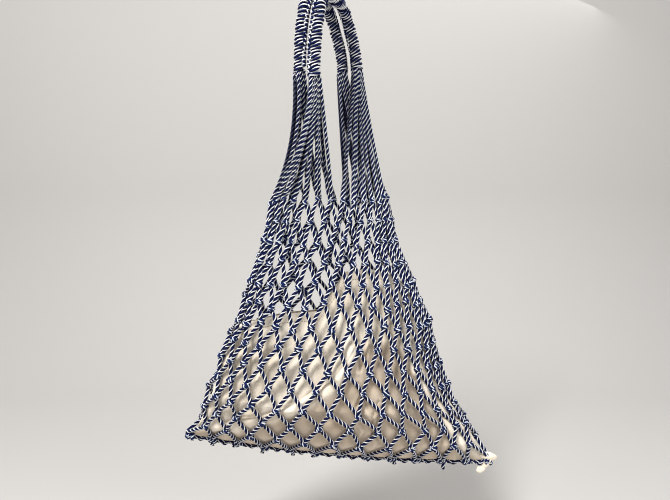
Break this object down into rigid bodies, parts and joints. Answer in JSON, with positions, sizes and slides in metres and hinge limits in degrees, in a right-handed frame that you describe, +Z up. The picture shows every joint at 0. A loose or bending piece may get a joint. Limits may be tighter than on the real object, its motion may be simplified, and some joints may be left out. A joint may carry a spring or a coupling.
{
  "type": "mesh bag",
  "caption": "Knotted rope mesh bag hanging by two wrapped handles, filled low down by a soft cotton pouch.",
  "frame": {"origin": "under the middle of the handles' bend, where the bag hangs", "axes": "+Z up, +X along the bag's width to the viewer's right, -Y out of the bag's front"},
  "size_m": [0.4372, 0.1324, 0.6449],
  "materials": {
    "net_rope": "matt twisted cord, navy and white strands laid together",
    "wrap_rope": "the same cord wound tightly round a bundle of cords",
    "lacing": "the same cord, laced and knotted",
    "cotton": "soft plain-woven cream cotton, creased"
  },
  "bodies": {
    "root": {"net": "net_rope", "handle_front": "wrap_rope", "handle_back": "wrap_rope", "seam_cord": "lacing", "pouch": "cotton"}
  },
  "joints": []
}
